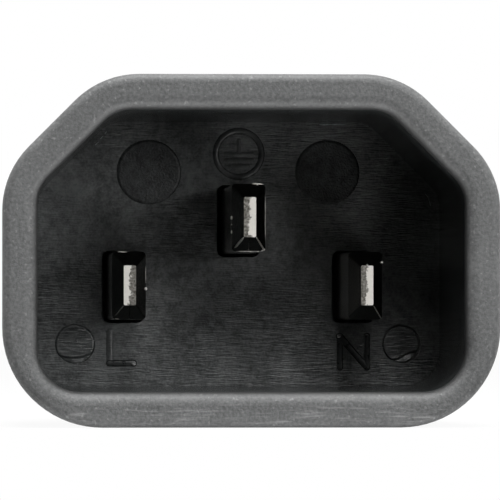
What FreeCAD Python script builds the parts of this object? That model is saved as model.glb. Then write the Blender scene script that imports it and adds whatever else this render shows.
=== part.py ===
import FreeCAD
import Part
import Sketcher
import math
import os

# Male plug of a three-pole appliance coupler, as moulded on the end of a power cord.
# The rim of the shroud lies in the plane y = 0 and faces -Y, the cord leaves along +Y,
# +Z is up, and the origin is on the plug's axis in the rim plane. Millimetres and degrees.

SIZES = {
    # shroud, the front of the overmould, drafted everywhere but underneath
    "shroud_width": 29.14,
    "shroud_height": 20.65,
    "shroud_chamfer": 5.8,
    "shroud_top_radius": 5.3,
    "shroud_base_radius": 5.85,
    "shroud_length": 23.0,
    "shroud_draft": 1.0,
    "shroud_rear_bevel": 0.6,
    "rim_outer_radius": 0.5,
    "rim_inner_radius": 0.8,
    "lip_depth": 1.0,
    # cavity that the mating connector enters, an even rim wall inside the shroud
    "rim_wall": 2.07,
    "cavity_top_radius": 2.2,
    "cavity_base_radius": 2.5,
    "cavity_depth": 16.5,
    "cavity_draft": 0.8,
    # rigid insert that lines the cavity and carries the pins
    "insert_wall": 0.95,
    "insert_floor": 3.5,
    "slot_side_clearance": 0.3,
    "slot_end_clearance": 0.2,
    "slot_corner_radius": 0.45,
    # pins, folded from sheet
    "pin_pitch": 14.0,
    "earth_rise": 4.0,
    "pin_thickness": 2.0,
    "pin_height": 4.0,
    "pin_edge_radius": 0.25,
    "live_pin_reach": 12.5,
    "earth_pin_reach": 14.0,
    "tip_length": 1.8,
    "tip_thickness": 0.72,
    "tip_height": 2.34,
    "tip_edge_radius": 0.08,
    "seam_gap": 0.03,
    "fold_thickness": 0.9,
    "seam_past_floor": 2.0,
    "blade_past_insert": 0.8,
    "neck_thickness": 1.0,
    "neck_height": 2.6,
    "neck_length": 1.6,
    "barrel_across": 3.2,
    "barrel_bore": 2.0,
    "barrel_length": 5.5,
    # shallow round recesses that the mould's ejectors leave in the insert's floor
    "large_recess_diameter": 3.95,
    "large_recess_offset": 5.44,
    "large_recess_from_top": 3.27,
    "small_recess_diameter": 2.45,
    "small_recess_from_side": 2.565,
    "small_recess_from_base": 2.77,
    "recess_depth": 0.2,
    # grip behind the shroud, stepped in from it and tapered
    "grip_side_step": 2.15,
    "grip_base_step": 1.4,
    "grip_chamfer": 4.9,
    "grip_top_radius": 4.0,
    "grip_base_radius": 4.5,
    "grip_length": 15.0,
    "grip_taper": 7.0,
    "grip_rear_bevel": 1.0,
    "rib_width": 1.4,
    "rib_top_width": 0.6,
    "rib_span": 6.6,
    "rib_proud": 0.5,
    "rib_pitch": 2.6,
    "rib_start": 3.0,
    "rib_drop": 0.9,
    # collar and bore where the cord goes in
    "cord_diameter": 8.4,
    "cord_seat_depth": 11.0,
    "collar_wall": 1.7,
    "collar_length": 6.0,
    "collar_root": 3.0,
    "collar_chamfer": 0.6,
    "bore_chamfer": 0.4,
    "core_diameter": 2.8,
    "core_spread": 1.75,
}
RIB_COUNT = 4

# Places along the axis, as sheet expressions
FLOOR = "Sizes.cavity_depth"
INSERT_BACK = "(Sizes.cavity_depth + Sizes.insert_floor)"
SHROUD_END = "Sizes.shroud_length"
GRIP_END = "(Sizes.shroud_length + Sizes.grip_length)"
COLLAR_END = "(Sizes.shroud_length + Sizes.grip_length + Sizes.collar_length)"
BORE_END = f"({COLLAR_END} - Sizes.cord_seat_depth)"
BLADE_ROOT = "(Sizes.insert_floor + Sizes.blade_past_insert)"
BARREL_END = f"({FLOOR} + {BLADE_ROOT} + Sizes.neck_length + Sizes.barrel_length)"

# Widths and heights that follow from one another, as sheet expressions
CAVITY_WIDTH = "(Sizes.shroud_width - 2 * Sizes.rim_wall)"
CAVITY_HEIGHT = "(Sizes.shroud_height - 2 * Sizes.rim_wall)"
CAVITY_CHAMFER = "(Sizes.shroud_chamfer - Sizes.rim_wall * (2 - sqrt(2)))"
INSERT_WIDTH = f"({CAVITY_WIDTH} + 2 * Sizes.insert_wall)"
INSERT_HEIGHT = f"({CAVITY_HEIGHT} + 2 * Sizes.insert_wall)"
INSERT_CHAMFER = f"({CAVITY_CHAMFER} + Sizes.insert_wall * (2 - sqrt(2)))"
INSERT_TOP_RADIUS = "(Sizes.cavity_top_radius + Sizes.insert_wall)"
INSERT_BASE_RADIUS = "(Sizes.cavity_base_radius + Sizes.insert_wall)"
GRIP_WIDTH = "(Sizes.shroud_width - 2 * Sizes.grip_side_step)"
GRIP_HEIGHT = "(Sizes.shroud_height - 2 * Sizes.grip_base_step)"
COLLAR_DIAMETER = "(Sizes.cord_diameter + 2 * Sizes.collar_wall)"

HALF_TURN_TANGENT = math.tan(math.radians(22.5))
ROUNDING = 1e-6

doc = FreeCAD.newDocument("plug")
sheet = doc.addObject("Spreadsheet::Sheet", "Sizes")
for row, (alias, value) in enumerate(SIZES.items(), start=1):
    sheet.set(f"A{row}", alias)
    sheet.set(f"B{row}", str(value))
    sheet.setAlias(f"B{row}", alias)
doc.recompute()


def worked_out(expression):
    """The value of a sheet expression, in millimetres or degrees."""
    return float(sheet.evalExpression(expression.replace("Sizes.", "")))


def new_body(label):
    body = doc.addObject("PartDesign::Body", label)
    body.Label = label
    return body


def origin_plane(body, role):
    return next(f for f in body.Origin.OriginFeatures if f.Role == role)


def new_sketch(body, name, depth="0", role="XZ_Plane"):
    """A sketch across the plug's axis, at a depth along +Y. The plane's own normal is -Y."""
    sketch = body.newObject("Sketcher::SketchObject", name)
    sketch.AttachmentSupport = (origin_plane(body, role), [""])
    sketch.MapMode = "FlatFace"
    if depth != "0":
        sketch.setExpression("AttachmentOffset.Base.z", f"-({depth})")
    return sketch


def constrain(sketch, name, expression, *what):
    """A dimension of the sketch, named and bound to the sheet."""
    value = worked_out(expression)
    index = sketch.addConstraint(Sketcher.Constraint(*what, value))
    sketch.renameConstraint(index, name)
    sketch.setExpression(f"Constraints.{name}", expression)


def point(u, v):
    return FreeCAD.Vector(u, v, 0)


def arc(u, v, radius, start, end):
    circle = Part.Circle(point(u, v), FreeCAD.Vector(0, 0, 1), radius)
    return Part.ArcOfCircle(circle, math.radians(start), math.radians(end))


def tangent_loop(sketch, count):
    """Joins each curve's end to the next one's start, tangent all the way round."""
    for i in range(count):
        sketch.addConstraint(Sketcher.Constraint("Tangent", i, 2, (i + 1) % count, 1))


def outline(body, name, depth, width, height, chamfer, top_radius, base_radius):
    """The coupler's outline: a rectangle with its upper corners cut at 45 degrees, all rounded."""
    sketch = new_sketch(body, name, depth)
    x, z, c = worked_out(width) / 2, worked_out(height) / 2, worked_out(chamfer)
    rt, rb = worked_out(top_radius), worked_out(base_radius)
    run = rt * HALF_TURN_TANGENT
    dip = rt * (1 - math.cos(math.radians(45)))
    side_top, top_end = z - c - run, x - c - run
    low = point(x - dip, side_top + rt * math.sin(math.radians(45)))
    high = point(top_end + rt * math.sin(math.radians(45)), z - dip)
    sketch.addGeometry(
        [
            Part.LineSegment(point(-x + rb, -z), point(x - rb, -z)),
            arc(x - rb, -z + rb, rb, -90, 0),
            Part.LineSegment(point(x, -z + rb), point(x, side_top)),
            arc(x - rt, side_top, rt, 0, 45),
            Part.LineSegment(low, high),
            arc(top_end, z - rt, rt, 45, 90),
            Part.LineSegment(point(top_end, z), point(-top_end, z)),
            arc(-top_end, z - rt, rt, 90, 135),
            Part.LineSegment(point(-high.x, high.y), point(-low.x, low.y)),
            arc(-x + rt, side_top, rt, 135, 180),
            Part.LineSegment(point(-x, side_top), point(-x, -z + rb)),
            arc(-x + rb, -z + rb, rb, 180, 270),
        ],
        False,
    )
    tangent_loop(sketch, 12)
    for line, way in ((0, "Horizontal"), (2, "Vertical"), (6, "Horizontal"), (10, "Vertical")):
        sketch.addConstraint(Sketcher.Constraint(way, line))
    sketch.addConstraint(Sketcher.Constraint("Angle", 4, math.radians(135)))
    sketch.addConstraint(Sketcher.Constraint("Angle", 8, math.radians(-135)))
    constrain(sketch, "right", f"{width} / 2", "DistanceX", -1, 1, 2, 1)
    constrain(sketch, "left", f"{width} / 2", "DistanceX", 10, 1, -1, 1)
    constrain(sketch, "top", f"{height} / 2", "DistanceY", -1, 1, 6, 1)
    constrain(sketch, "base", f"{height} / 2", "DistanceY", 0, 1, -1, 1)
    cut = f"({width} / 2 + {height} / 2 - {chamfer}) / sqrt(2)"
    constrain(sketch, "right_cut", cut, "Distance", -1, 1, 4)
    constrain(sketch, "left_cut", cut, "Distance", -1, 1, 8)
    constrain(sketch, "top_radius", top_radius, "Radius", 3)
    constrain(sketch, "base_radius", base_radius, "Radius", 1)
    for i in (5, 7, 9):
        sketch.addConstraint(Sketcher.Constraint("Equal", 3, i))
    sketch.addConstraint(Sketcher.Constraint("Equal", 1, 11))
    return sketch


def cut_corner_rectangle(body, name, depth, width, height, chamfer):
    """A rectangle whose two upper corners are cut at 45 degrees, with sharp corners."""
    sketch = new_sketch(body, name, depth)
    x, z, c = worked_out(width) / 2, worked_out(height) / 2, worked_out(chamfer)
    corners = [(-x, -z), (x, -z), (x, z - c), (x - c, z), (-x + c, z), (-x, z - c)]
    for a, b in zip(corners, corners[1:] + corners[:1]):
        sketch.addGeometry(Part.LineSegment(point(*a), point(*b)), False)
    for i in range(6):
        sketch.addConstraint(Sketcher.Constraint("Coincident", i, 2, (i + 1) % 6, 1))
    for line, way in ((0, "Horizontal"), (1, "Vertical"), (3, "Horizontal"), (5, "Vertical")):
        sketch.addConstraint(Sketcher.Constraint(way, line))
    constrain(sketch, "right", f"{width} / 2", "DistanceX", -1, 1, 1, 1)
    constrain(sketch, "left", f"{width} / 2", "DistanceX", 5, 1, -1, 1)
    constrain(sketch, "top", f"{height} / 2", "DistanceY", -1, 1, 3, 1)
    constrain(sketch, "base", f"{height} / 2", "DistanceY", 0, 1, -1, 1)
    constrain(sketch, "right_cut_side", f"{height} / 2 - {chamfer}", "DistanceY", -1, 1, 2, 1)
    constrain(sketch, "left_cut_side", f"{height} / 2 - {chamfer}", "DistanceY", -1, 1, 4, 2)
    constrain(sketch, "right_cut_top", f"{width} / 2 - {chamfer}", "DistanceX", -1, 1, 2, 2)
    constrain(sketch, "left_cut_top", f"{width} / 2 - {chamfer}", "DistanceX", 4, 1, -1, 1)
    return sketch


def rounded_rectangle(body, name, depth, width, height, radius):
    """A rectangle centred on the sketch's origin, with rounded corners."""
    sketch = new_sketch(body, name, depth)
    x, z, r = worked_out(width) / 2, worked_out(height) / 2, worked_out(radius)
    sketch.addGeometry(
        [
            Part.LineSegment(point(-x + r, -z), point(x - r, -z)),
            arc(x - r, -z + r, r, -90, 0),
            Part.LineSegment(point(x, -z + r), point(x, z - r)),
            arc(x - r, z - r, r, 0, 90),
            Part.LineSegment(point(x - r, z), point(-x + r, z)),
            arc(-x + r, z - r, r, 90, 180),
            Part.LineSegment(point(-x, z - r), point(-x, -z + r)),
            arc(-x + r, -z + r, r, 180, 270),
        ],
        False,
    )
    tangent_loop(sketch, 8)
    for line, way in ((0, "Horizontal"), (2, "Vertical"), (4, "Horizontal"), (6, "Vertical")):
        sketch.addConstraint(Sketcher.Constraint(way, line))
    constrain(sketch, "right", f"{width} / 2", "DistanceX", -1, 1, 2, 1)
    constrain(sketch, "left", f"{width} / 2", "DistanceX", 6, 1, -1, 1)
    constrain(sketch, "top", f"{height} / 2", "DistanceY", -1, 1, 4, 1)
    constrain(sketch, "base", f"{height} / 2", "DistanceY", 0, 1, -1, 1)
    constrain(sketch, "corner", radius, "Radius", 1)
    for i in (3, 5, 7):
        sketch.addConstraint(Sketcher.Constraint("Equal", 1, i))
    return sketch


def rectangles(body, name, depth, boxes, role="XZ_Plane"):
    """Plain rectangles, each given as the expressions of its left, right, base and top."""
    sketch = new_sketch(body, name, depth, role)
    for n, (left, right, base, top) in enumerate(boxes):
        l, r, b, t = (worked_out(side) for side in (left, right, base, top))
        first = 4 * n
        corners = [point(l, b), point(r, b), point(r, t), point(l, t)]
        for i in range(4):
            sketch.addGeometry(Part.LineSegment(corners[i], corners[(i + 1) % 4]), False)
        for i in range(4):
            ends = (first + i, 2, first + (i + 1) % 4, 1)
            sketch.addConstraint(Sketcher.Constraint("Coincident", *ends))
            way = "Vertical" if i % 2 else "Horizontal"
            sketch.addConstraint(Sketcher.Constraint(way, first + i))
        constrain(sketch, f"left{n}", left, "DistanceX", -1, 1, first, 1)
        constrain(sketch, f"right{n}", right, "DistanceX", -1, 1, first + 1, 1)
        constrain(sketch, f"base{n}", base, "DistanceY", -1, 1, first, 1)
        constrain(sketch, f"top{n}", top, "DistanceY", -1, 1, first + 2, 1)
    return sketch


def circles(body, name, depth, rounds):
    """Circles, each given as the expressions of its centre and its diameter."""
    sketch = new_sketch(body, name, depth)
    for n, (u, v, diameter) in enumerate(rounds):
        centre = point(worked_out(u), worked_out(v))
        radius = worked_out(diameter) / 2
        sketch.addGeometry(Part.Circle(centre, FreeCAD.Vector(0, 0, 1), radius), False)
        constrain(sketch, f"diameter{n}", diameter, "Diameter", n)
        for axis, place in (("DistanceX", u), ("DistanceY", v)):
            if place == "0":
                on_axis = "PointOnObject", n, 3, -2 if axis == "DistanceX" else -1
                sketch.addConstraint(Sketcher.Constraint(*on_axis))
            else:
                constrain(sketch, f"{axis}{n}", place, axis, -1, 1, n, 3)
    return sketch


def hexagon_ring(body, name, depth, across, bore):
    """A hexagon with flats above and below, and a round hole in its middle."""
    sketch = new_sketch(body, name, depth)
    flat, corner = f"{across} / 2", f"{across} / sqrt(3)"
    x, z = worked_out(corner), worked_out(flat)
    corners = [(-x / 2, -z), (x / 2, -z), (x, 0), (x / 2, z), (-x / 2, z), (-x, 0)]
    for a, b in zip(corners, corners[1:] + corners[:1]):
        sketch.addGeometry(Part.LineSegment(point(*a), point(*b)), False)
    for i in range(6):
        sketch.addConstraint(Sketcher.Constraint("Coincident", i, 2, (i + 1) % 6, 1))
    for line, place in ((0, "base"), (3, "top")):
        sketch.addConstraint(Sketcher.Constraint("Symmetric", line, 1, line, 2, -2))
        constrain(sketch, f"{place}_side", corner, "Distance", line)
    constrain(sketch, "base", flat, "DistanceY", 0, 1, -1, 1)
    constrain(sketch, "top", flat, "DistanceY", -1, 1, 3, 1)
    for line in (2, 5):
        sketch.addConstraint(Sketcher.Constraint("PointOnObject", line, 1, -1))
    constrain(sketch, "right", corner, "DistanceX", -1, 1, 2, 1)
    constrain(sketch, "left", corner, "DistanceX", 5, 1, -1, 1)
    hole = Part.Circle(point(0, 0), FreeCAD.Vector(0, 0, 1), worked_out(bore) / 2)
    index = sketch.addGeometry(hole, False)
    sketch.addConstraint(Sketcher.Constraint("Coincident", index, 3, -1, 1))
    constrain(sketch, "bore", bore, "Diameter", index)
    return sketch


def rib_bar(body, name, level, depth, half_width, proud):
    """A bar from side to side at a level along +Z, its ends narrowing where they stand proud."""
    sketch = body.newObject("Sketcher::SketchObject", name)
    sketch.AttachmentSupport = (origin_plane(body, "XY_Plane"), [""])
    sketch.MapMode = "FlatFace"
    sketch.setExpression("AttachmentOffset.Base.z", level)
    root, top = "Sizes.rib_width / 2", "Sizes.rib_top_width / 2"
    outer = f"{half_width} + {proud}"
    places = [
        (outer, f"{depth} - {top}"),
        (outer, f"{depth} + {top}"),
        (half_width, f"{depth} + {root}"),
        (f"-({half_width})", f"{depth} + {root}"),
        (f"-({outer})", f"{depth} + {top}"),
        (f"-({outer})", f"{depth} - {top}"),
        (f"-({half_width})", f"{depth} - {root}"),
        (half_width, f"{depth} - {root}"),
    ]
    corners = [point(worked_out(u), worked_out(v)) for u, v in places]
    for a, b in zip(corners, corners[1:] + corners[:1]):
        sketch.addGeometry(Part.LineSegment(a, b), False)
    for i, (u, v) in enumerate(places):
        sketch.addConstraint(Sketcher.Constraint("Coincident", i, 2, (i + 1) % 8, 1))
        constrain(sketch, f"across{i}", u, "DistanceX", -1, 1, i, 1)
        constrain(sketch, f"along{i}", v, "DistanceY", -1, 1, i, 1)
    return sketch


def pad(body, name, sketch, length, forward=True):
    """Adds material from the sketch towards +Y, or towards -Y."""
    feature = body.newObject("PartDesign::Pad", name)
    feature.Profile = sketch
    feature.setExpression("Length", length)
    feature.Reversed = forward
    return feature


def pocket(body, name, sketch, length, taper=None):
    """Cuts from the sketch towards +Y, and checks that it took something away."""
    doc.recompute()
    before = body.Shape.Volume
    feature = body.newObject("PartDesign::Pocket", name)
    feature.Profile = sketch
    feature.setExpression("Length", length)
    if taper:
        feature.setExpression("TaperAngle", taper)
    doc.recompute()
    if body.Shape.Volume >= before - ROUNDING:
        raise RuntimeError(f"{name} cut nothing")
    return feature


def loft(body, name, first, last):
    """Adds the straight-sided solid between two sketches."""
    feature = body.newObject("PartDesign::AdditiveLoft", name)
    feature.Profile = first
    feature.Sections = [last]
    feature.Ruled = True
    return feature


def face_across(shape, depth):
    """The largest flat face that lies across the axis at a depth along +Y."""
    found = [
        f
        for f in shape.Faces
        if abs(f.BoundBox.YMin - depth) < ROUNDING and abs(f.BoundBox.YMax - depth) < ROUNDING
    ]
    return max(found, key=lambda f: f.Area)


def face_names(shape, faces):
    return [f"Face{n}" for n, f in enumerate(shape.Faces, start=1) if any(f.isSame(x) for x in faces)]


def edge_names(shape, edges):
    return [f"Edge{n}" for n, e in enumerate(shape.Edges, start=1) if any(e.isSame(x) for x in edges)]


def edge_break(body, name, kind, depth, outer, size):
    """Rounds or bevels the outer edges of the face at that depth, or the edges of the opening in it."""
    doc.recompute()
    base = body.Tip
    face = face_across(base.Shape, worked_out(depth))
    rim = face.OuterWire.Edges
    edges = rim if outer else [e for e in face.Edges if not any(e.isSame(x) for x in rim)]
    feature = body.newObject(f"PartDesign::{kind}", name)
    feature.Base = (base, edge_names(base.Shape, edges))
    feature.setExpression("Radius" if kind == "Fillet" else "Size", size)
    doc.recompute()
    return feature


def recess_places():
    """The four round recesses in the insert's floor: centre and diameter, as expressions."""
    large_rise = f"({CAVITY_HEIGHT} / 2 - Sizes.large_recess_from_top)"
    small_offset = f"({CAVITY_WIDTH} / 2 - Sizes.small_recess_from_side)"
    small_drop = f"({CAVITY_HEIGHT} / 2 - Sizes.small_recess_from_base)"
    places = []
    for side in ("", "-"):
        places.append((f"{side}Sizes.large_recess_offset", large_rise, "Sizes.large_recess_diameter"))
        places.append((f"{side}{small_offset}", f"-{small_drop}", "Sizes.small_recess_diameter"))
    return places


# Each pin's centre across the axis, and its reach from the cavity floor
PINS = {
    "live_pin": ("-Sizes.pin_pitch / 2", "-Sizes.earth_rise / 2", "Sizes.live_pin_reach"),
    "neutral_pin": ("Sizes.pin_pitch / 2", "-Sizes.earth_rise / 2", "Sizes.live_pin_reach"),
    "earth_pin": ("0", "Sizes.earth_rise / 2", "Sizes.earth_pin_reach"),
}
# Where each pin's core lies in the cord, on a circle about its axis, as an angle from +X
CORE_ANGLES = {"live_pin": 210, "neutral_pin": 330, "earth_pin": 90}


def make_pin(label):
    """A blade folded from sheet, with a four-sided tip, a seam and a hexagon-crimped barrel behind it.
    It is drawn about its own axis, with its own origin where it meets the cavity floor."""
    x, z, reach = PINS[label]
    body = new_body(label)
    shoulder = f"-({reach} - Sizes.tip_length)"
    section = ("Sizes.pin_thickness", "Sizes.pin_height", "Sizes.pin_edge_radius")
    tip_section = ("Sizes.tip_thickness", "Sizes.tip_height", "Sizes.tip_edge_radius")
    blade = rounded_rectangle(body, f"{label}_section", shoulder, *section)
    pad(body, f"{label}_blade", blade, f"{reach} - Sizes.tip_length + {BLADE_ROOT}")
    base = rounded_rectangle(body, f"{label}_tip_base", shoulder, *section)
    end = rounded_rectangle(body, f"{label}_tip_end", f"-({reach})", *tip_section)
    loft(body, f"{label}_tip", base, end)
    seam = rectangles(
        body,
        f"{label}_seam_section",
        f"-({reach})",
        [
            (
                "-Sizes.seam_gap / 2",
                "Sizes.seam_gap / 2",
                "-Sizes.pin_height",
                "Sizes.pin_height / 2 - Sizes.fold_thickness",
            )
        ],
    )
    pocket(body, f"{label}_seam", seam, f"{reach} + Sizes.seam_past_floor")
    neck = rectangles(
        body,
        f"{label}_neck_section",
        BLADE_ROOT,
        [
            (
                "-Sizes.neck_thickness / 2",
                "Sizes.neck_thickness / 2",
                "-Sizes.neck_height / 2",
                "Sizes.neck_height / 2",
            )
        ],
    )
    pad(body, f"{label}_neck", neck, "Sizes.neck_length")
    barrel_start = f"{BLADE_ROOT} + Sizes.neck_length"
    barrel_sizes = ("Sizes.barrel_across", "Sizes.barrel_bore")
    barrel = hexagon_ring(body, f"{label}_barrel_section", barrel_start, *barrel_sizes)
    pad(body, f"{label}_barrel", barrel, "Sizes.barrel_length")
    for axis, place in (("x", x), ("y", FLOOR), ("z", z)):
        if place != "0":
            body.setExpression(f"Placement.Base.{axis}", place)
    doc.recompute()
    return body


def round_slots(body):
    """Rounds the corners of the slots, which run straight through the insert's floor."""
    doc.recompute()
    base = body.Tip
    through = worked_out("Sizes.insert_floor")
    edges = [
        e
        for e in base.Shape.Edges
        if abs(e.Length - through) < ROUNDING and abs(e.BoundBox.YLength - through) < ROUNDING
    ]
    feature = body.newObject("PartDesign::Fillet", "insert_slot_corners")
    feature.Base = (base, edge_names(base.Shape, edges))
    feature.setExpression("Radius", "Sizes.slot_corner_radius")
    doc.recompute()
    return feature


def insert_outline(body, name):
    sizes = (INSERT_WIDTH, INSERT_HEIGHT, INSERT_CHAMFER, INSERT_TOP_RADIUS, INSERT_BASE_RADIUS)
    return outline(body, name, "Sizes.lip_depth", *sizes)


def cavity_outline(body, name, depth):
    radii = ("Sizes.cavity_top_radius", "Sizes.cavity_base_radius")
    return outline(body, name, depth, CAVITY_WIDTH, CAVITY_HEIGHT, CAVITY_CHAMFER, *radii)


def make_insert():
    """The rigid cup that lines the cavity, with slots for the pins and the ejectors' recesses."""
    body = new_body("pin_insert")
    pad(body, "insert_block", insert_outline(body, "insert_section"), f"{INSERT_BACK} - Sizes.lip_depth")
    mouth = cavity_outline(body, "insert_mouth", "Sizes.lip_depth")
    pocket(body, "insert_cavity", mouth, f"{FLOOR} - Sizes.lip_depth", "-Sizes.cavity_draft")
    half_width = "(Sizes.pin_thickness / 2 + Sizes.slot_side_clearance)"
    half_height = "(Sizes.pin_height / 2 + Sizes.slot_end_clearance)"
    slots = [
        (f"{x} - {half_width}", f"{x} + {half_width}", f"{z} - {half_height}", f"{z} + {half_height}")
        for x, z, _ in PINS.values()
    ]
    slot_sketch = rectangles(body, "insert_slots_outline", FLOOR, slots)
    pocket(body, "insert_slots", slot_sketch, "Sizes.insert_floor")
    round_slots(body)
    recesses = circles(body, "insert_recesses_outline", FLOOR, recess_places())
    pocket(body, "insert_recesses", recesses, "Sizes.recess_depth")
    return body


def add_ribs(body):
    """Upright finger ribs on both sides of the grip, with drafted flanks, equally proud of its taper."""
    base = "-Sizes.rib_drop - Sizes.rib_span / 2"
    for n in range(RIB_COUNT):
        along = f"(Sizes.rib_start + {n} * Sizes.rib_pitch)"
        half_width = f"({GRIP_WIDTH} / 2 - {along} * tan(Sizes.grip_taper * 1 deg))"
        depth = f"({SHROUD_END} + {along})"
        sketch = rib_bar(body, f"rib_{n}_outline", base, depth, half_width, "Sizes.rib_proud")
        rib = body.newObject("PartDesign::Pad", f"rib_{n}")
        rib.Profile = sketch
        rib.setExpression("Length", "Sizes.rib_span")
    doc.recompute()


def make_shroud(body):
    """The shroud's block: flat underneath, its other sides drafted, its long edges rounded."""
    sizes = ("Sizes.shroud_width", "Sizes.shroud_height", "Sizes.shroud_chamfer")
    block = pad(body, "shroud", cut_corner_rectangle(body, "shroud_outline", "0", *sizes), SHROUD_END)
    doc.recompute()
    front = face_across(block.Shape, 0)
    rear = face_across(block.Shape, worked_out(SHROUD_END))
    base = min(block.Shape.Faces, key=lambda f: f.CenterOfMass.z)
    sides = [f for f in block.Shape.Faces if not any(f.isSame(x) for x in (front, rear, base))]
    draft = body.newObject("PartDesign::Draft", "shroud_drafted")
    draft.Base = (block, face_names(block.Shape, sides))
    draft.NeutralPlane = (origin_plane(body, "XZ_Plane"), [""])
    draft.Reversed = True
    doc.recompute()
    draft.setExpression("Angle", "Sizes.shroud_draft")
    doc.recompute()
    if draft.Shape.Volume >= block.Shape.Volume:
        raise RuntimeError("the shroud's draft opens towards the rear")
    for name, upper, radius in (
        ("shroud_base_edges", False, "Sizes.shroud_base_radius"),
        ("shroud_top_edges", True, "Sizes.shroud_top_radius"),
    ):
        base = body.Tip
        edges = [
            e
            for e in base.Shape.Edges
            if abs(e.BoundBox.YLength - worked_out(SHROUD_END)) < ROUNDING
            and (e.CenterOfMass.z > 0) == upper
        ]
        feature = body.newObject("PartDesign::Fillet", name)
        feature.Base = (base, edge_names(base.Shape, edges))
        feature.setExpression("Radius", radius)
        doc.recompute()


def make_overmould():
    """The soft body moulded round the insert and the pins, from the rim to the cord's collar."""
    body = new_body("overmould_form")
    make_shroud(body)
    grip_radii = ("Sizes.grip_top_radius", "Sizes.grip_base_radius")
    grip_sizes = (GRIP_WIDTH, GRIP_HEIGHT, "Sizes.grip_chamfer", *grip_radii)
    grip = pad(body, "grip", outline(body, "grip_outline", SHROUD_END, *grip_sizes), "Sizes.grip_length")
    grip.setExpression("TaperAngle", "-Sizes.grip_taper")
    edge_break(body, "shroud_rear_edge", "Chamfer", SHROUD_END, True, "Sizes.shroud_rear_bevel")
    edge_break(body, "grip_rear_edge", "Chamfer", GRIP_END, True, "Sizes.grip_rear_bevel")
    collar_start = f"{GRIP_END} - Sizes.collar_root"
    collar = circles(body, "collar_outline", collar_start, [("0", "0", COLLAR_DIAMETER)])
    pad(body, "collar", collar, "Sizes.collar_root + Sizes.collar_length")
    edge_break(body, "collar_edge", "Chamfer", COLLAR_END, True, "Sizes.collar_chamfer")
    add_ribs(body)
    bore = circles(body, "bore_outline", BORE_END, [("0", "0", "Sizes.cord_diameter")])
    pocket(body, "bore", bore, "Sizes.cord_seat_depth")
    edge_break(body, "bore_edge", "Chamfer", COLLAR_END, False, "Sizes.bore_chamfer")
    mouth = cavity_outline(body, "mouth_outline", "0")
    pocket(body, "mouth", mouth, "Sizes.lip_depth")
    edge_break(body, "rim_outer", "Fillet", "0", True, "Sizes.rim_outer_radius")
    edge_break(body, "rim_inner", "Fillet", "0", False, "Sizes.rim_inner_radius")
    pocket(body, "insert_seat", insert_outline(body, "seat_outline"), f"{INSERT_BACK} - Sizes.lip_depth")
    return body


def make_cord_space():
    """The room that the cord's three cores take between its seat and the crimp barrels."""
    body = new_body("cord_space")
    start = circles(body, "cores_start", BORE_END, [("0", "0", "Sizes.cord_diameter")])
    pad(body, "cores_meeting", start, "Sizes.cord_seat_depth / 2")
    for label, (x, z, _) in PINS.items():
        turn = CORE_ANGLES[label]
        in_cord = (f"Sizes.core_spread * cos({turn})", f"Sizes.core_spread * sin({turn})")
        near = circles(body, f"{label}_core_near", BORE_END, [(*in_cord, "Sizes.core_diameter")])
        far = circles(body, f"{label}_core_far", BARREL_END, [(x, z, "Sizes.core_diameter")])
        loft(body, f"{label}_core", near, far)
        wire = circles(body, f"{label}_wire_outline", BARREL_END, [(x, z, "Sizes.barrel_bore")])
        pad(body, f"{label}_wire", wire, "Sizes.barrel_length", forward=False)
    doc.recompute()
    return body


def cut_away(label, base, tools):
    """The base with the room that the tools take removed from it."""
    joined = doc.addObject("Part::MultiFuse", f"{label}_hollows")
    joined.Shapes = tools
    cut = doc.addObject("Part::Cut", label)
    cut.Label = label
    cut.Base = base
    cut.Tool = joined
    doc.recompute()
    return cut


pins = [make_pin(label) for label in PINS]
insert = make_insert()
overmould = cut_away("overmould", make_overmould(), [*pins, make_cord_space()])
nodes = [overmould, insert, *pins]

doc.recompute()
for item in doc.Objects:
    if "Invalid" in item.State or "Error" in item.State:
        raise RuntimeError(f"{item.Name} failed: {item.State}")
os.makedirs("parts", exist_ok=True)
for node in nodes:
    shape = node.Shape
    if shape.isNull() or not shape.isValid() or len(shape.Solids) != 1:
        raise RuntimeError(f"{node.Label} isn't one valid solid")
    shape.exportStep(f"parts/{node.Label}.step")
    print(node.Label, round(shape.Volume, 2), "mm3", shape.BoundBox)
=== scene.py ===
import math

import bmesh
import bpy
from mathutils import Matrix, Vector


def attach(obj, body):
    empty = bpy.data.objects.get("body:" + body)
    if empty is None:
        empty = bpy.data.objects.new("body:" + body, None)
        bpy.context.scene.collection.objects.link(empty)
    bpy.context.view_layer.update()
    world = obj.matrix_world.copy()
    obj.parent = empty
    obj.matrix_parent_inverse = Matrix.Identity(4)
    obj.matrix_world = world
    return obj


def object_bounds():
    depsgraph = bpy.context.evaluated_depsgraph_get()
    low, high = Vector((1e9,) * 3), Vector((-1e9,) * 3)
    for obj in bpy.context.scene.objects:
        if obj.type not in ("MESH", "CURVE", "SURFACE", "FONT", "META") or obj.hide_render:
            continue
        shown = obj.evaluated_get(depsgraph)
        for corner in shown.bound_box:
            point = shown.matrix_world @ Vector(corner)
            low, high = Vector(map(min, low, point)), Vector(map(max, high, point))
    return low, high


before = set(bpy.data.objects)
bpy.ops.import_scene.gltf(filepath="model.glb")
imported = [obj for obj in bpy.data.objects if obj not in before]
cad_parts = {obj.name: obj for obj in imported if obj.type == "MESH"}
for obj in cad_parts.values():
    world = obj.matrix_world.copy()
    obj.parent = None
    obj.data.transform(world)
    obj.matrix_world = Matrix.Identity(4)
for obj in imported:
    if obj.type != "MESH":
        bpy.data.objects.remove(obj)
CAD_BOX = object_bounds()
MM = 0.001

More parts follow.
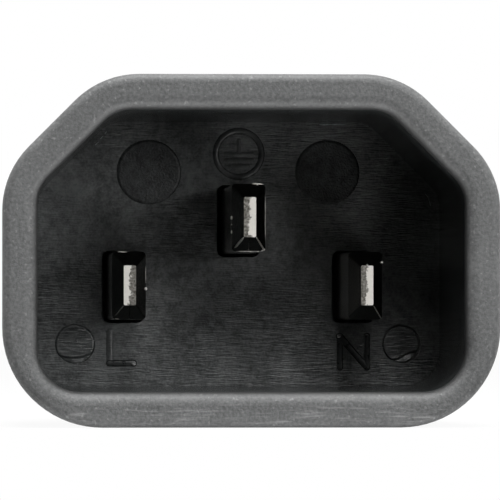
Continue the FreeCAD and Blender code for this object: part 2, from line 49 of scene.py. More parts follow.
# Places and sizes on the CAD model, in millimetres; the open face looks along -Y, and Z is up
FLOOR_Y = 16.5
PIN_SPACING = 7.0
PIN_TIPS = {"live": (-7.0, 4.0, -2.0), "neutral": (7.0, 4.0, -2.0), "earth": (0.0, 2.5, 2.0)}
TIP_HEIGHT = 2.34
SEAM_TOP = 1.1
LARGE_RECESS_RADIUS = 3.95 / 2
SMALL_RECESS_RADIUS = 2.45 / 2
LARGE_RECESSES = {"left": (-5.44, 4.985), "right": (5.44, 4.985)}
SMALL_RECESSES = {"left": (-9.935, -5.485), "right": (9.935, -5.485)}


# Materials

GREY_TINT = (0.98, 1.0, 1.0)
BLACK_TINT = (0.9, 1.0, 1.0)
NICKEL = (0.66, 0.64, 0.6)
BRIGHT_METAL = (0.86, 0.84, 0.79)
# colour of the torn layer: its own tear, darkened further as painted shade
TORN_AND_SHADED_METAL = (0.19, 0.185, 0.17)
# colour of the painted shade on the walls where the rim meets the liner
SEAM_SHADE = (0.02, 0.02, 0.02)
# centre of the painted shade in the floor's middle
PAINTED_SHADE_CENTRE = Vector((0.5, FLOOR_Y, -2.0))
WALL_ROUGHNESS = 0.16
# Depth of the relief in each surface, and the radius by which the blades' edges are eased
GREY_RELIEF = 0.06
BLACK_RELIEF = 0.1
EDGE_RELIEF = 0.01
METAL_RELIEF = 0.012
BLADE_EDGE_RADIUS = 0.12


class Nodes:
    """A node tree, with short ways to add and link nodes."""

    def __init__(self, tree):
        self.tree = tree

    def add(self, kind, **settings):
        node = self.tree.nodes.new(kind)
        for key, value in settings.items():
            setattr(node, key, value)
        return node

    def link(self, source, target):
        self.tree.links.new(source, target)

    def put(self, value, socket):
        """Links another node's output to a socket, or sets a fixed value there."""
        if isinstance(value, bpy.types.NodeSocket):
            self.link(value, socket)
        else:
            socket.default_value = value

    def parts(self, vector):
        """The X, Y and Z of a vector."""
        node = self.add("ShaderNodeSeparateXYZ")
        self.link(vector, node.inputs["Vector"])
        return tuple(node.outputs[axis] for axis in "XYZ")

    def span(self, factor, low, high, to_low, to_high):
        """Maps a range of one value onto another, clamped."""
        node = self.add("ShaderNodeMapRange")
        names = ("Value", "From Min", "From Max", "To Min", "To Max")
        for name, value in zip(names, (factor, low, high, to_low, to_high)):
            self.put(value, node.inputs[name])
        return node.outputs["Result"]

    def math(self, operation, a, b=0.0):
        node = self.add("ShaderNodeMath", operation=operation)
        for socket, value in zip(node.inputs, (a, b)):
            self.put(value, socket)
        return node.outputs["Value"]

    def plus(self, a, b):
        return self.math("ADD", a, b)

    def times(self, a, b):
        return self.math("MULTIPLY", a, b)

    def blend(self, a, a_share, b, b_share):
        """A weighted sum of two values."""
        return self.plus(self.times(a, a_share), self.times(b, b_share))


class Surface(Nodes):
    """A material's node tree round its shader."""

    def __init__(self, name):
        self.material = bpy.data.materials.new(name)
        self.material.use_nodes = True
        super().__init__(self.material.node_tree)
        self.shader = self.tree.nodes["Principled BSDF"]
        self.output = self.tree.nodes["Material Output"]

    def feed(self, value, name):
        self.put(value, self.shader.inputs[name])

    def place(self):
        """Place on the object in the frame, in metres."""
        return self.add("ShaderNodeTexCoord").outputs["Object"]

    def normal(self):
        """The surface's own direction in the frame."""
        return self.add("ShaderNodeTexCoord").outputs["Normal"]

    def stretched(self, source, scale):
        node = self.add("ShaderNodeMapping")
        node.inputs["Scale"].default_value = scale
        self.link(source, node.inputs["Vector"])
        return node.outputs["Vector"]

    def noise(self, vector, scale, detail=2.0, roughness=0.5):
        node = self.add("ShaderNodeTexNoise")
        node.inputs["Scale"].default_value = scale
        node.inputs["Detail"].default_value = detail
        node.inputs["Roughness"].default_value = roughness
        self.link(vector, node.inputs["Vector"])
        return node.outputs["Fac"]

    def ramp(self, factor, *stops):
        """A colour ramp with two (position, colour) stops."""
        node = self.add("ShaderNodeValToRGB")
        for element, (place, colour) in zip(node.color_ramp.elements, stops):
            element.position = place
            element.color = (*colour, 1.0)
        self.link(factor, node.inputs["Fac"])
        return node.outputs["Color"]

    def vector_math(self, operation, a, b):
        """A number from two vectors."""
        node = self.add("ShaderNodeVectorMath", operation=operation)
        for socket, value in zip(node.inputs, (a, b)):
            self.put(value, socket)
        return node.outputs["Value"]

    def scaled(self, colour, factor):
        """A colour made darker or lighter by a factor."""
        node = self.add("ShaderNodeVectorMath", operation="SCALE")
        self.link(colour, node.inputs[0])
        self.link(factor, node.inputs["Scale"])
        return node.outputs["Vector"]

    def mix(self, factor, a, b, **settings):
        """Goes from one colour or direction to another by a factor."""
        node = self.add("ShaderNodeMix", **settings)
        for name, value in (("Factor", factor), ("A", a), ("B", b)):
            self.put(value, node.inputs[name])
        return node.outputs["Result"]

    def mix_colour(self, factor, a, b, blend_type="MIX"):
        if isinstance(b, tuple):
            b = (*b, 1.0)
        return self.mix(factor, a, b, data_type="RGBA", blend_type=blend_type)

    def rounded(self, radius):
        """The surface's direction with its sharp edges eased."""
        node = self.add("ShaderNodeBevel", samples=6)
        node.inputs["Radius"].default_value = radius
        return node.outputs["Normal"]

    def bump(self, height, distance, after=None):
        node = self.add("ShaderNodeBump")
        node.inputs["Distance"].default_value = distance
        self.link(height, node.inputs["Height"])
        if after is not None:
            self.link(after, node.inputs["Normal"])
        return node.outputs["Normal"]


def tinted(level, tint, share):
    return tuple(level * part * share for part in tint)


def soft_grey(name, level):
    """Matte moulded soft plastic with a fine eroded grain. It is scuffed along its lower edge. The
    rim's rounded edges are lighter, partly from rubbing and partly as painted sheen, with a painted
    highlight on the inner edge of the upper cut corners; the inward-facing walls where the rim meets
    the liner carry painted shade, darkened almost to black."""
    s = Surface(name)
    place, normal = s.place(), s.normal()
    _, y, z = s.parts(place)
    face_x, face_y, face_z = s.parts(normal)
    cloud = s.noise(place, 420, 3)
    speck = s.noise(place, 5200, 2, 0.6)
    tone = s.blend(cloud, 0.2, speck, 0.8)
    dark, light = (tinted(level, GREY_TINT, share) for share in (0.74, 1.26))
    moulded = s.ramp(tone, (0.36, dark), (0.64, light))

    # scuffs on the flat of the lower rim
    low_edge = s.span(z, -8.9 * MM, -9.2 * MM, 0.0, 1.0)
    low_flat = s.times(low_edge, s.span(face_y, -0.7, -0.95, 0.0, 1.0))
    lines = s.noise(s.stretched(place, (420, 420, 5200)), 1.0, 3, 0.6)
    scuffed = s.times(low_flat, s.span(lines, 0.53, 0.7, 0.0, 0.5))

    # the rim's rounded edges, lighter partly from rubbing and partly as painted sheen, with a painted
    # highlight along the inner edge of the upper cut corners
    near_rim = s.span(y, 1.2 * MM, 0.8 * MM, 0.0, 1.0)
    rim_edge = s.times(near_rim, s.span(face_y, -0.97, -0.8, 0.0, 1.0))
    from_axis = s.vector_math("DOT_PRODUCT", place, normal)
    towards_axis = s.span(from_axis, -1.0 * MM, -3.0 * MM, 0.0, 1.0)
    inner = s.times(towards_axis, s.span(y, 1.5 * MM, 1.2 * MM, 0.0, 1.0))
    slant = s.math("ABSOLUTE", s.times(face_x, face_z))
    upper = s.span(z, 2.0 * MM, 4.0 * MM, 0.0, 1.0)
    # painted highlight on the inner rounded edge of the upper cut corners
    cut_edge_highlight = s.times(rim_edge, s.times(s.span(slant, 0.02, 0.1, 0.0, 1.0), upper))
    # painted sheen mixed with rubbing: every rounded rim edge is lightened a little
    all_round = s.times(rim_edge, s.span(cloud, 0.35, 0.65, 0.03, 0.09))
    rubbing_and_sheen = s.plus(all_round, s.times(cut_edge_highlight, s.times(inner, 0.16)))

    fleck = s.span(s.noise(place, 4200, 1, 0.5), 0.64, 0.76, 0.0, 0.35)
    # real scuffs and flecks, plus the painted sheen and painted highlight of the rounded edges
    wear_and_sheen = s.plus(scuffed, s.plus(rubbing_and_sheen, fleck))
    worn = s.mix_colour(wear_and_sheen, moulded, (level * 3, level * 3, level * 3))
    # painted shade: the inward-facing walls next to the liner are darkened almost to black
    seam = s.times(inner, s.span(face_y, -0.78, -0.3, 0.0, 0.8))
    s.feed(s.mix_colour(seam, worn, SEAM_SHADE), "Base Color")
    s.feed(s.span(speck, 0.3, 0.7, 0.48, 0.62), "Roughness")
    grain = s.noise(place, 4800, 3, 0.6)
    coarse = s.noise(place, 1500, 2)
    s.feed(s.bump(s.blend(grain, 0.65, coarse, 0.35), GREY_RELIEF * MM), "Normal")
    return s.material


def black_insert(name, level, gloss, rough, patchy, streaks, pits, painted_shading=0.0):
    """Hard black plastic: the floor keeps the mould's short milling streaks, the walls are polished.
    By a given share, it carries painted shade round the floor's middle and painted light towards its
    edges, in both colour and gloss."""
    s = Surface(name)
    place = s.place()
    _, y, _ = s.parts(place)
    _, face_y, _ = s.parts(s.normal())
    streak = s.noise(s.stretched(place, (1000, 3000, 9000)), 1.0, 2, 0.55)
    scratch = s.noise(s.stretched(place, (1800, 5000, 17000)), 1.0, 1, 0.5)
    pit = s.noise(place, 7500, 2, 0.6)
    mottle = s.noise(place, 2400, 3, 0.6)
    cloud = s.noise(place, 280, 3, 0.6)
    tone = s.plus(s.blend(pit, 0.25, mottle, 0.35), s.times(cloud, 0.4))
    dark, light = (tinted(level, BLACK_TINT, share) for share in (1 - patchy, 1 + patchy))
    # painted shade round the floor's middle and painted light towards its edges
    from_middle = s.vector_math("DISTANCE", place, PAINTED_SHADE_CENTRE * MM)
    painted_shading_scale = s.span(from_middle, 2.0 * MM, 9.0 * MM, 1 - painted_shading, 1 + painted_shading)
    s.feed(s.scaled(s.ramp(tone, (0.4, dark), (0.6, light)), painted_shading_scale), "Base Color")
    sheen = s.span(tone, 0.4, 0.6, gloss * (1 - patchy), gloss * (1 + patchy))
    s.feed(gloss, "Specular IOR Level")
    s.feed(s.times(sheen, painted_shading_scale), "Specular IOR Level")

    above_floor = s.span(y, (FLOOR_Y - 0.02) * MM, FLOOR_Y * MM, 1.0, 0.0)
    wall = s.times(s.span(face_y, -0.9, -0.5, 0.0, 1.0), above_floor)
    milled = s.math("SUBTRACT", 1.0, wall)
    matte = s.times(milled, s.span(mottle, 0.3, 0.7, rough - 0.21, rough - 0.11))
    s.feed(s.plus(matte, WALL_ROUGHNESS), "Roughness")
    lines = s.times(s.blend(streak, 0.5, scratch, 0.5), s.span(cloud, 0.36, 0.64, 0.6, 1.1))
    relief = s.times(s.blend(lines, streaks, pit, pits), s.span(milled, 0.0, 1.0, 0.08, 1.0))
    s.feed(s.bump(relief, BLACK_RELIEF * MM), "Normal")
    return s.material


def burnished_edge(name, colour):
    """Metal smeared along an edge by the stamping: bright, satin and broken into short runs."""
    s = Surface(name)
    place = s.place()
    s.feed(1.0, "Metallic")
    smear = s.noise(place, 3800, 3, 0.6)
    dark = tuple(c * 0.7 for c in colour)
    s.feed(s.ramp(smear, (0.38, dark), (0.56, colour)), "Base Color")
    s.feed(s.span(smear, 0.35, 0.65, 0.62, 0.42), "Roughness")
    s.feed(s.bump(s.noise(place, 9000, 2), EDGE_RELIEF * MM), "Normal")
    return s.material


def plated_metal(name, colour):
    """Nickel plate over stamped sheet: mirror-like sides with drawn lines, and sheared ends where one
    layer of the folded sheet is burnished bright and the other is torn, matte and darkened, partly as
    painted shade.
    The tip's slopes carry painted shade."""
    s = Surface(name)
    place = s.place()
    x, _, _ = s.parts(place)
    _, face_y, _ = s.parts(s.normal())
    s.feed(1.0, "Metallic")
    drawn = s.noise(s.stretched(place, (6000, 160, 6000)), 1.0, 3, 0.6)
    scuff = s.noise(place, 2600, 4, 0.65)
    mottle = s.noise(place, 6500, 3, 0.6)
    sheared = s.span(face_y, -0.9, -0.98, 0.0, 1.0)

    # the torn layer lies on one side of the seam, on the other side for the live blade
    nearest_blade = s.math("ROUND", s.math("DIVIDE", x, PIN_SPACING * MM))
    from_seam = s.math("SUBTRACT", x, s.times(nearest_blade, PIN_SPACING * MM))
    side = s.math("SIGN", s.plus(x, PIN_SPACING / 2 * MM))
    ragged = s.span(scuff, 0.35, 0.65, -0.14 * MM, 0.14 * MM)
    torn_line = s.plus(s.times(from_seam, side), ragged)
    torn = s.times(s.span(torn_line, 0.04 * MM, -0.04 * MM, 0.08, 1.0), sheared)
    # the torn layer is darkened, partly by its own tear and partly as painted shade
    dull_and_shaded = s.times(torn, s.span(mottle, 0.66, 0.38, 0.6, 1.0))

    # painted shade: the tip's slopes, pressed by coining, are darkened to a third of the sides' colour,
    # standing in for the dark cavity they mirror
    slope_shade = s.span(face_y, -0.2, -0.3, 1.0, 0.3)
    dark = tuple(c * 0.8 for c in colour)
    plate = s.mix_colour(1.0, s.ramp(scuff, (0.35, dark), (0.6, colour)), slope_shade, "MULTIPLY")
    bright = s.math("SUBTRACT", sheared, s.times(dull_and_shaded, 0.4))
    tone = s.mix_colour(bright, plate, BRIGHT_METAL)
    s.feed(s.mix_colour(dull_and_shaded, tone, TORN_AND_SHADED_METAL, "MULTIPLY"), "Base Color")
    smooth = s.span(scuff, 0.35, 0.7, 0.1, 0.22)
    s.feed(s.plus(smooth, s.times(sheared, 0.42)), "Roughness")
    grain = s.times(sheared, s.times(mottle, 2.0))
    height = s.plus(s.blend(drawn, 0.5, scuff, 0.5), grain)
    flat = s.add("ShaderNodeNewGeometry").outputs["Normal"]
    eased = s.mix(sheared, s.rounded(BLADE_EDGE_RADIUS * MM), flat, data_type="VECTOR")
    s.feed(s.bump(height, METAL_RELIEF * MM, eased), "Normal")
    return s.material


# Pieces in the cavity


def new_piece(name, bm, material):
    mesh = bpy.data.meshes.new(name)
    bm.to_mesh(mesh)
    bm.free()
    mesh.polygons.foreach_set("use_smooth", [True] * len(mesh.polygons))
    mesh.update()
    obj = bpy.data.objects.new(name, mesh)
    bpy.context.scene.collection.objects.link(obj)
    obj.data.materials.append(material)
    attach(obj, "root")
    return obj


def smooth_step(low, high, value):
    t = max(0.0, min(1.0, (value - low) / (high - low)))
    return t * t * (3 - 2 * t)


def to_segment(p, a, b):
    """How far a point is from a straight stroke."""
    along = b - a
    t = max(0.0, min(1.0, (p - a).dot(along) / along.length_squared))
    return (p - a - along * t).length


def to_ring(p, centre, radius):
    """How far a point is from a round stroke."""
    return abs((p - centre).length - radius)


def add_relief(bm, low, high, height, step):
    """A grid over a part of the floor, raised by height(place) and kept where it stands proud."""
    columns = round((high.x - low.x) / step)
    rows = round((high.y - low.y) / step)
    grid, rises = [], []
    for j in range(rows + 1):
        for i in range(columns + 1):
            p = Vector((low.x + i * step, low.y + j * step))
            rise = height(p)
            rises.append(rise)
            grid.append(bm.verts.new((p.x * MM, (FLOOR_Y - rise) * MM, p.y * MM)))
    for j in range(rows):
        for i in range(columns):
            first = j * (columns + 1) + i
            corners = (first, first + 1, first + columns + 2, first + columns + 1)
            if max(rises[c] for c in corners) > 0:
                bm.faces.new([grid[c] for c in corners])
    bmesh.ops.delete(bm, geom=[v for v in bm.verts if not v.link_faces], context="VERTS")


def add_mark(name, strokes, half_width, rise, material, step=0.025):
    """A raised sign whose strokes are rounded ridges. A stroke is a distance function."""
    sunk = 0.012
    points = [p for _, corners in strokes for p in corners]
    margin = Vector((half_width + 2 * step, half_width + 2 * step))
    low = Vector((min(p.x for p in points), min(p.y for p in points))) - margin
    high = Vector((max(p.x for p in points), max(p.y for p in points))) + margin

    def height(p):
        away = min(distance(p) for distance, _ in strokes)
        return (rise + sunk) * math.sqrt(max(0.0, 1 - (away / half_width) ** 2)) - sunk

    bm = bmesh.new()
    add_relief(bm, low, high, height, step)
    new_piece(name, bm, material)


def add_nub(name, centre, lean, radius, material, step=0.02):
    """A low dome that closes a stroke's end, leaning by the given slopes along +X and +Z."""
    centre, lean = Vector(centre), Vector(lean)
    crown, roundness, sunk = 0.14, 1.0, 0.002

    def height(p):
        d = p - centre
        skirt = smooth_step(radius, radius * 0.75, d.length)
        return (crown - d.dot(lean) - roundness * d.length_squared) * skirt - sunk

    bm = bmesh.new()
    reach = Vector((radius, radius)) + Vector((step, step))
    add_relief(bm, centre - reach, centre + reach, height, step)
    new_piece(name, bm, material)


def stroke(a, b):
    a, b = Vector(a), Vector(b)
    return lambda p: to_segment(p, a, b), (a, b)


def ring_stroke(centre, radius):
    centre = Vector(centre)
    reach = Vector((radius, radius))
    return lambda p: to_ring(p, centre, radius), (centre - reach, centre + reach)


def make_seam_plating(material):
    """Plating that bridges the seam of each folded blade at its tip, a hair below the sheared end."""
    half_gap, below, deep, margin = 0.016, 0.005, 0.12, 0.06
    low, high = -TIP_HEIGHT / 2 + margin, SEAM_TOP
    faces = ((0, 1, 3, 2), (4, 6, 7, 5), (0, 4, 5, 1), (2, 3, 7, 6), (0, 2, 6, 4), (1, 5, 7, 3))
    for name, (x, y, z) in PIN_TIPS.items():
        bm = bmesh.new()
        verts = []
        for w in (low, high):
            for v in (below, deep):
                for u in (-half_gap, half_gap):
                    verts.append(bm.verts.new(((x + u) * MM, (y + v) * MM, (z + w) * MM)))
        for face in faces:
            bm.faces.new([verts[i] for i in face])
        bmesh.ops.recalc_face_normals(bm, faces=bm.faces)
        piece = new_piece(f"seam_plating_{name}", bm, material)
        piece.data.polygons.foreach_set("use_smooth", [False] * len(faces))


def add_bead(bm, start, end, radius, sides=10, rings=6):
    """A thin rounded bead from one place to another, tapered at both ends."""
    start, end = Vector(start), Vector(end)
    along = (end - start).normalized()
    across = along.cross(Vector((0, 0, 1) if abs(along.z) < 0.9 else (1, 0, 0))).normalized()
    up = along.cross(across)
    turns = [math.tau * i / sides for i in range(sides)]
    loops = []
    for k in range(rings + 1):
        t = k / rings
        r = radius * math.sqrt(max(0.04, 1 - (2 * t - 1) ** 4))
        middle = start.lerp(end, t)
        spokes = [across * math.cos(a) + up * math.sin(a) for a in turns]
        loops.append([bm.verts.new((middle + spoke * r) * MM) for spoke in spokes])
    for first, last in zip(loops[:-1], loops[1:]):
        for i in range(sides):
            j = (i + 1) % sides
            bm.faces.new((first[i], first[j], last[j], last[i]))
    bm.faces.new(loops[0][::-1])
    bm.faces.new(loops[-1])


# Burrs and nicks that the stamping leaves along the edges of the blades' tips:
# start, end and radius, measured from the middle of a tip's flat
RIGHT_EDGE = ((0.34, 0.03, -1.14), (0.95, 1.8, -1.95))
LEFT_EDGE = ((-0.38, 0.06, -1.2), (-0.83, 1.36, -1.79))
BURRS = {
    "earth": [
        (*LEFT_EDGE, 0.065),
        (*RIGHT_EDGE, 0.045),
        ((0.7, 1.74, -1.95), (0.98, 1.76, -1.86), 0.085),
        ((-0.75, 1.78, -1.99), (0.75, 1.78, -1.99), 0.035),
        ((0.2, 1.78, 2.0), (0.9, 1.78, 1.95), 0.055),
        ((0.45, 1.72, 1.93), (0.6, 1.72, 1.95), 0.08),
        ((0.99, 1.78, -1.5), (0.99, 1.78, 1.5), 0.012),
        ((-0.99, 1.78, -0.12), (-0.99, 1.78, 0.1), 0.075),
        ((-0.99, 1.78, -0.95), (-0.99, 1.78, -0.75), 0.05),
        ((-0.99, 1.78, -0.45), (-0.99, 1.78, -0.38), 0.045),
    ],
    "live": [
        (*LEFT_EDGE, 0.02),
        ((1.0, 1.78, -0.28), (1.0, 1.78, -0.1), 0.085),
        ((0.99, 1.78, 0.1), (0.99, 1.78, 1.2), 0.011),
        ((-0.7, 1.78, 1.985), (-0.1, 1.78, 1.985), 0.025),
        ((-0.85, 1.76, -1.93), (-0.6, 1.76, -1.98), 0.05),
        ((-0.62, 0.9, 0.95), (-0.6, 0.9, 1.05), 0.04),
    ],
    "neutral": [
        (*RIGHT_EDGE, 0.03),
        ((0.99, 1.76, 1.45), (0.99, 1.76, 1.3), 0.085),
        ((-0.04, 0.08, 1.2), (0.06, 0.08, 1.2), 0.07),
    ],
}


def make_burrs(material):
    for name, beads in BURRS.items():
        tip = Vector(PIN_TIPS[name])
        bm = bmesh.new()
        for start, end, radius in beads:
            add_bead(bm, tip + Vector(start), tip + Vector(end), radius)
        new_piece(f"burrs_{name}", bm, material)


# Short light beads near the floor's edges: the three along its top edge are a painted highlight line,
# and the
# # rest are scuffs from the connector that is pushed in; start and end as (x, z), and radius
EDGE_GLINT_AND_SCUFFS = [
    ((4.95, 7.91), (5.8, 7.92), 0.065),
    ((5.6, 7.9), (6.6, 7.91), 0.04),
    ((5.3, 7.2), (6.1, 7.22), 0.015),
    ((11.4, 3.7), (11.62, 3.45), 0.025),
    ((11.62, 3.42), (11.75, 2.95), 0.025),
    ((-8.72, 6.62), (-8.5, 6.82), 0.022),
    ((-8.4, 6.98), (-8.2, 7.2), 0.03),
    ((-8.12, 7.32), (-8.0, 7.46), 0.02),
]


def make_glint_and_scuffs(material):
    bm = bmesh.new()
    for (x0, z0), (x1, z1), radius in EDGE_GLINT_AND_SCUFFS:
        add_bead(bm, (x0, FLOOR_Y, z0), (x1, FLOOR_Y, z1), radius)
    new_piece("floor_glint_and_scuffs", bm, material)


def make_marks(letters, faint, sign):
    """The letters under the live and neutral blades and the earth sign over the third."""
    half_width, rise, worn_rise = 0.2, 0.13, 0.05
    live_top, live_corner, live_end = (-7.84, -4.75), (-7.84, -6.64), (-6.36, -6.64)
    add_mark("mark_live_stem", [stroke(live_top, live_corner)], half_width, worn_rise, faint)
    add_mark("mark_live_foot", [stroke(live_corner, live_end)], half_width, rise, letters)
    add_nub("mark_live_end", live_end, (0.16, 0.3), 0.21, letters)
    neutral = [
        stroke((6.2, -5.0), (6.2, -6.9)),
        stroke((6.2, -5.0), (7.85, -6.9)),
        stroke((7.85, -6.9), (7.85, -5.0)),
    ]
    add_mark("mark_neutral", neutral, half_width, rise, letters)
    add_nub("mark_neutral_end", (6.15, -5.0), (-0.06, 0.38), 0.2, letters)
    x, z = 0.03, 6.1
    add_mark("mark_earth_ring", [ring_stroke((x, z), 1.4)], 0.18, 0.08, sign)
    earth = [stroke((x, z + 0.8), (x, z + 0.1))]
    for half_length, drop in ((0.8, 0.0), (0.8, 0.38), (0.55, 0.74)):
        earth.append(stroke((x - half_length, z - drop), (x + half_length, z - drop)))
    add_mark("mark_earth", earth, 0.14, 0.025, sign)


def add_disc(bm, centre, radius, depth, rings=40, spokes=120):
    """A round face in a recess: depth(u, v) behind the floor, over a disc of unit radius."""
    cx, cz = centre
    rows = []
    for k in range(1, rings + 1):
        r = k / rings
        row = []
        for i in range(spokes):
            turn = math.tau * i / spokes
            u, v = r * math.cos(turn), r * math.sin(turn)
            y = FLOOR_Y + depth(u, v)
            row.append(bm.verts.new(((cx + u * radius) * MM, y * MM, (cz + v * radius) * MM)))
        rows.append(row)
    middle = bm.verts.new((cx * MM, (FLOOR_Y + depth(0, 0)) * MM, cz * MM))
    for i in range(spokes):
        bm.faces.new((middle, rows[0][i], rows[0][(i + 1) % spokes]))
    for inner, outer in zip(rows[:-1], rows[1:]):
        for i in range(spokes):
            j = (i + 1) % spokes
            bm.faces.new((outer[i], outer[j], inner[j], inner[i]))


FACE_DEPTH = 0.03
LIP_DEPTH = 0.12
# A slope at which the crescent under a lip mirrors the overhead lamp
CRESCENT_SLOPE = 0.376


def rolled_edge(u, v, start, depth):
    """Depth that an edge adds as it rolls back towards the recess's bottom."""
    return depth * smooth_step(start, 1.0, math.hypot(u, v)) ** 2


def large_face(u, v):
    return FACE_DEPTH + rolled_edge(u, v, 0.9, 0.06)


def small_face(u, v, lip_line, crescent, roll_start, roll_depth):
    """A face that ends in a wavy lip over a sloping crescent."""
    above = v - lip_line(u)
    lip = LIP_DEPTH * (1 - smooth_step(-0.06, 0.02, above))
    rise = CRESCENT_SLOPE * crescent(u) * SMALL_RECESS_RADIUS * max(0.0, -0.1 - above)
    return FACE_DEPTH + lip - rise + rolled_edge(u, v, roll_start, roll_depth)


def left_face(u, v):
    return small_face(
        u,
        v,
        lip_line=lambda u: -0.66 + 0.26 * (u + 0.1) ** 2,
        crescent=lambda u: smooth_step(-0.15, 0.1, u) * smooth_step(0.5, 0.3, u),
        roll_start=0.86,
        roll_depth=0.07,
    )


def right_face(u, v):
    return small_face(
        u,
        v,
        lip_line=lambda u: -0.62 + 0.22 * math.tanh(3 * (u - 0.1)),
        crescent=lambda u: smooth_step(-0.6, -0.3, u) * smooth_step(0.8, 0.5, u),
        roll_start=0.94,
        roll_depth=0.16,
    )


def make_disc_faces(large_material, small_material):
    """Faces left by the ejectors, each a little smaller than its recess."""
    large_gap = 0.005
    small_faces = {"left": (0.005, left_face), "right": (0.1, right_face)}
    for side, centre in LARGE_RECESSES.items():
        bm = bmesh.new()
        add_disc(bm, centre, LARGE_RECESS_RADIUS - large_gap, large_face)
        new_piece(f"large_disc_{side}", bm, large_material)
    for side, centre in SMALL_RECESSES.items():
        gap, depth = small_faces[side]
        bm = bmesh.new()
        add_disc(bm, centre, SMALL_RECESS_RADIUS - gap, depth)
        new_piece(f"small_disc_{side}", bm, small_material)


# Stage, lamps and camera

TABLE_FRONT_Y = -1.0
TABLE_SIZE = 1500.0
TABLE_GREY = 0.86
# How much of the table is plain white to the camera; the rest keeps the plug's shadow
TABLE_GLOW = 0.93


def make_floor():
    """A pale table that the plug lies on, its face near the table's front edge."""
    bm = bmesh.new()
    half = TABLE_SIZE / 2
    underside = CAD_BOX[0][2]
    front, back = TABLE_FRONT_Y, TABLE_SIZE
    corners = [(-half, front), (half, front), (half, back), (-half, back)]
    bm.faces.new([bm.verts.new((x * MM, y * MM, underside)) for x, y in corners])
    mesh = bpy.data.meshes.new("floor")
    bm.to_mesh(mesh)
    bm.free()
    floor = bpy.data.objects.new("floor", mesh)
    bpy.context.scene.collection.objects.link(floor)
    s = Surface("floor_white")
    s.feed((TABLE_GREY, TABLE_GREY, TABLE_GREY, 1.0), "Base Color")
    s.feed(0.6, "Roughness")
    path = s.add("ShaderNodeLightPath")
    seen = s.math("MAXIMUM", path.outputs["Is Camera Ray"], path.outputs["Is Glossy Ray"])
    glow = s.add("ShaderNodeEmission")
    mix = s.add("ShaderNodeMixShader")
    s.link(s.times(seen, TABLE_GLOW), mix.inputs["Fac"])
    s.link(s.shader.outputs["BSDF"], mix.inputs[1])
    s.link(glow.outputs["Emission"], mix.inputs[2])
    s.link(mix.outputs["Shader"], s.output.inputs["Surface"])
    floor.data.materials.append(s.material)


# Softboxes: azimuth from straight ahead towards +X, elevation, distance, width, height, watts
LAMPS = {
    "top": (0, 80, 400, 260, 160, 1.8),
    "bottom": (0, -78, 400, 260, 100, 1.05),
    "overhead": (2, 42, 400, 110, 60, 0.4),
    "overhead_low": (2, 32, 400, 110, 60, 0.07),
    "overhead_right": (20, 32, 400, 110, 60, 0.2),
    "upper_right": (24, 22, 400, 90, 60, 0.06),
    "right": (35, 8, 400, 90, 90, 0.38),
    "right_low": (35, -8, 400, 90, 90, 0.04),
    "low": (20, -24, 400, 90, 80, 0.11),
    "low_left": (-20, -26, 400, 60, 40, 0.03),
}
ROOM_LIGHT = 0.0
BACKDROP_LIGHT = 1.0


def make_lamps():
    for name, (azimuth, elevation, distance, width, height, power) in LAMPS.items():
        a, e = math.radians(azimuth), math.radians(elevation)
        way = Vector((math.sin(a) * math.cos(e), -math.cos(a) * math.cos(e), math.sin(e)))
        data = bpy.data.lights.new(name, "AREA")
        data.shape = "RECTANGLE"
        data.size, data.size_y = width * MM, height * MM
        data.energy = power
        lamp = bpy.data.objects.new(name, data)
        lamp.location = way * distance * MM
        lamp.rotation_euler = (-way).to_track_quat("-Z", "Y").to_euler()
        bpy.context.scene.collection.objects.link(lamp)


def make_world():
    """A dark room in front and a pale backdrop behind, which is white to the camera and in metal."""
    world = bpy.data.worlds.new("studio")
    bpy.context.scene.world = world
    world.use_nodes = True
    n = Nodes(world.node_tree)
    _, y, _ = n.parts(n.add("ShaderNodeTexCoord").outputs["Generated"])
    behind = n.span(y, -0.1, 0.1, 0.0, 1.0)
    room = n.span(behind, 0.0, 1.0, ROOM_LIGHT, BACKDROP_LIGHT)
    path = n.add("ShaderNodeLightPath")
    mirrored = n.times(path.outputs["Is Glossy Ray"], behind)
    shown = n.math("MAXIMUM", path.outputs["Is Camera Ray"], mirrored)
    back = world.node_tree.nodes["Background"]
    back.inputs["Color"].default_value = (1, 1, 1, 1)
    n.link(n.span(shown, 0.0, 1.0, room, 1.0), back.inputs["Strength"])


CAMERA_PLACE = Vector((-19.2, -370.0, -4.7))
CAMERA_AIM = Vector((-0.13, 0.0, 0.035))
CAMERA_LENS = 457.7
CAMERA_SENSOR = 36.0


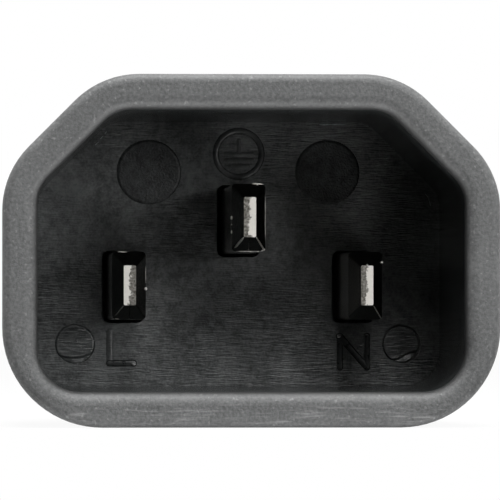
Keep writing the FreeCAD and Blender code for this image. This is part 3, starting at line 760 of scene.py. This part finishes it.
def make_camera():
    data = bpy.data.cameras.new("camera")
    data.lens, data.sensor_width = CAMERA_LENS, CAMERA_SENSOR
    data.clip_start, data.clip_end = 0.01, 10
    camera = bpy.data.objects.new("camera", data)
    camera.location = CAMERA_PLACE * MM
    camera.rotation_euler = (CAMERA_AIM - CAMERA_PLACE).to_track_quat("-Z", "Y").to_euler()
    bpy.context.scene.collection.objects.link(camera)
    bpy.context.scene.camera = camera


def dress(node, material):
    """Gives a CAD object a better material in its own slot."""
    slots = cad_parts[node].data.materials
    if slots:
        slots[0] = material
    else:
        slots.append(material)


grey = soft_grey("soft_grey", level=0.13)
black = black_insert(
    "black_insert", level=0.043, gloss=0.88, rough=0.45, patchy=0.42, streaks=0.85, pits=0.12, painted_shading=0.22
)
worn = black_insert(
    "ejector_black", level=0.027, gloss=0.5, rough=0.45, patchy=0.4, streaks=0.15, pits=0.45
)
glossy = black_insert(
    "ejector_gloss", level=0.05, gloss=1.0, rough=0.32, patchy=0.3, streaks=0.6, pits=0.1
)
raised = black_insert(
    "raised_black", level=0.03, gloss=0.95, rough=0.3, patchy=0.15, streaks=0.0, pits=0.03
)
faint = black_insert(
    "raised_faint", level=0.034, gloss=0.7, rough=0.45, patchy=0.3, streaks=0.35, pits=0.12
)
sign = black_insert(
    "sign_black", level=0.038, gloss=0.88, rough=0.36, patchy=0.2, streaks=0.1, pits=0.1
)
# a light colour for the floor's beads: a painted highlight along the top edge, and light scuffs
# elsewhere
scuffed = black_insert(
    "glint_and_scuff_black", level=0.55, gloss=0.6, rough=0.5, patchy=0.5, streaks=0.2, pits=0.3
)
metal = plated_metal("plated_metal", NICKEL)
burnished = burnished_edge("burnished_edge", BRIGHT_METAL)

dress("overmould", grey)
dress("pin_insert", black)
for pin in ("live_pin", "neutral_pin", "earth_pin"):
    dress(pin, metal)
make_seam_plating(metal)
make_burrs(burnished)
make_marks(raised, faint, sign)
make_glint_and_scuffs(scuffed)
make_disc_faces(worn, glossy)
make_floor()
make_lamps()
make_world()
make_camera()
bpy.context.scene.view_settings.view_transform = "Standard"
